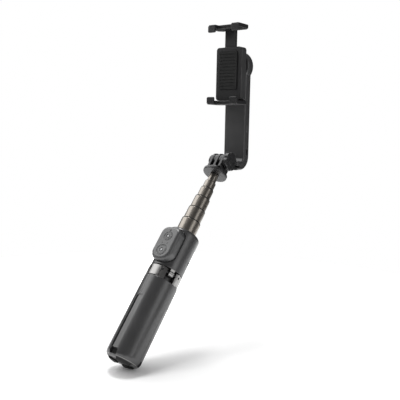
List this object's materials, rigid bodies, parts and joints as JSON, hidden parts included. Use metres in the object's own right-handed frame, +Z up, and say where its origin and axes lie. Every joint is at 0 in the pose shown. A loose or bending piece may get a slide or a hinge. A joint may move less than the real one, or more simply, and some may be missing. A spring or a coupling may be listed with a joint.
{
  "type": "single-axis phone gimbal with tripod rod",
  "caption": "Motorised phone clamp on an L-shaped arm, hinged to a telescopic rod whose grip unfolds into a tripod and carries a pull-off remote.",
  "frame": {"origin": "on the rod axis in the middle of the grip that the three folded legs make, 182 mm down the rod from the tilt hinge", "axes": "+Z up along the upright arm, +Y to the back, +X to the right of someone facing the phone screen; the rod leans 40 degrees, its top to the back"},
  "size_m": [0.037, 0.1856, 0.3145],
  "materials": {
    "charcoal_shell": "fine-textured soft-touch charcoal grey",
    "remote_grey": "fine-textured mid grey",
    "black_plastic": "satin black",
    "rubber": "matt black rubber",
    "champagne_steel": "champagne-tinted polished tube",
    "steel": "bright steel",
    "satin_metal": "satin grey die-cast metal",
    "copper": "copper windings",
    "board": "green circuit board",
    "battery_wrap": "silver pouch",
    "pale_lens": "pale translucent lens"
  },
  "bodies": {
    "grip_body": {"body_front_shell": "charcoal_shell", "body_rear_shell": "charcoal_shell", "body_screw_left": "steel", "body_screw_right": "steel", "rod_bush": "black_plastic", "leg_hub": "satin_metal", "leg_pin_right": "steel", "leg_pin_left": "steel", "leg_pin_rear": "steel"},
    "remote": {"remote_case": "remote_grey", "remote_light": "pale_lens", "remote_back": "charcoal_shell", "remote_board": "board", "remote_cell": "steel"},
    "shutter_button": {"shutter_button": "remote_grey"},
    "mode_button": {"mode_button": "remote_grey"},
    "leg_right": {"leg_right": "charcoal_shell", "foot_right": "rubber"},
    "leg_left": {"leg_left": "charcoal_shell", "foot_left": "rubber"},
    "leg_rear": {"leg_rear": "charcoal_shell", "foot_rear": "rubber"},
    "tube_1": {"rod_tube_1": "champagne_steel"},
    "tube_2": {"rod_tube_2": "champagne_steel"},
    "tube_3": {"rod_tube_3": "champagne_steel"},
    "tube_4": {"rod_tube_4": "champagne_steel"},
    "tube_5": {"rod_tube_5": "champagne_steel"},
    "rod_head": {"rod_tube_6": "champagne_steel", "rod_head": "black_plastic", "hinge_nut": "black_plastic"},
    "knob": {"thumb_knob": "black_plastic", "hinge_bolt": "steel"},
    "arm": {"arm_front_shell": "charcoal_shell", "arm_rear_shell": "charcoal_shell", "motor_cap": "black_plastic", "hinge_tongue": "black_plastic", "battery": "battery_wrap", "control_board": "board", "charging_socket": "steel", "motor_stator": "copper", "motor_bearing": "steel"},
    "power_button": {"power_button": "remote_grey"},
    "clamp": {"motor_rotor": "steel", "clamp_face": "black_plastic", "clamp_frame": "charcoal_shell", "back_pad": "rubber", "lower_jaw": "charcoal_shell", "lower_jaw_pad": "rubber", "guide_rod_left": "steel", "guide_rod_right": "steel", "jaw_spring_left": "steel", "jaw_spring_right": "steel"},
    "upper_jaw": {"upper_jaw": "charcoal_shell", "upper_jaw_pad": "rubber"}
  },
  "joints": [
    {"name": "tube_1_slide", "type": "slide", "parent": "grip_body", "child": "tube_1", "axis": [0, 0.6428, 0.766], "range_m": [-0.012, 0.083]},
    {"name": "tube_2_slide", "type": "slide", "parent": "tube_1", "child": "tube_2", "axis": [0, 0.6428, 0.766], "range_m": [-0.013, 0.086]},
    {"name": "tube_3_slide", "type": "slide", "parent": "tube_2", "child": "tube_3", "axis": [0, 0.6428, 0.766], "range_m": [-0.013, 0.086]},
    {"name": "tube_4_slide", "type": "slide", "parent": "tube_3", "child": "tube_4", "axis": [0, 0.6428, 0.766], "range_m": [-0.0108, 0.086]},
    {"name": "tube_5_slide", "type": "slide", "parent": "tube_4", "child": "tube_5", "axis": [0, 0.6428, 0.766], "range_m": [-0.0085, 0.086]},
    {"name": "tube_6_slide", "type": "slide", "parent": "tube_5", "child": "rod_head", "axis": [0, 0.6428, 0.766], "range_m": [-0.0096, 0.086]},
    {"name": "leg_right_fold", "type": "hinge", "parent": "grip_body", "child": "leg_right", "pos_m": [0.01126, 0.02549, 0.04049], "axis": [-0.5, -0.6634, 0.5567], "range_deg": [0, 70]},
    {"name": "leg_left_fold", "type": "hinge", "parent": "grip_body", "child": "leg_left", "pos_m": [-0.01126, 0.02549, 0.04049], "axis": [-0.5, 0.6634, -0.5567], "range_deg": [0, 70]},
    {"name": "leg_rear_fold", "type": "hinge", "parent": "grip_body", "child": "leg_rear", "pos_m": [0, 0.04043, 0.02795], "axis": [1, 0, 0], "range_deg": [0, 70]},
    {"name": "remote_pull", "type": "slide", "parent": "grip_body", "child": "remote", "axis": [0, -0.766, 0.6428], "range_m": [0, 0.02]},
    {"name": "shutter_button_press", "type": "slide", "parent": "remote", "child": "shutter_button", "axis": [0, 0.766, -0.6428], "range_m": [0, 0.0005], "stiffness_N_per_m": 900},
    {"name": "mode_button_press", "type": "slide", "parent": "remote", "child": "mode_button", "axis": [0, 0.766, -0.6428], "range_m": [0, 0.0005], "stiffness_N_per_m": 900},
    {"name": "knob_turn", "type": "hinge", "parent": "rod_head", "child": "knob", "pos_m": [0, 0.11699, 0.13942], "axis": [1, 0, 0], "continuous": true},
    {"name": "arm_tilt", "type": "hinge", "parent": "rod_head", "child": "arm", "pos_m": [0, 0.11699, 0.13942], "axis": [1, 0, 0], "range_deg": [-52, 90]},
    {"name": "power_button_press", "type": "slide", "parent": "arm", "child": "power_button", "axis": [-1, 0, 0], "range_m": [0, 0.0006], "stiffness_N_per_m": 900},
    {"name": "clamp_roll", "type": "hinge", "parent": "arm", "child": "clamp", "pos_m": [0, 0.14199, 0.23642], "axis": [0, 1, 0], "range_deg": [-165, 165]},
    {"name": "upper_jaw_slide", "type": "slide", "parent": "clamp", "child": "upper_jaw", "axis": [0, 0, 1], "range_m": [-0.015, 0.019], "stiffness_N_per_m": 250, "deforming": ["jaw_spring_left", "jaw_spring_right"]}
  ]
}
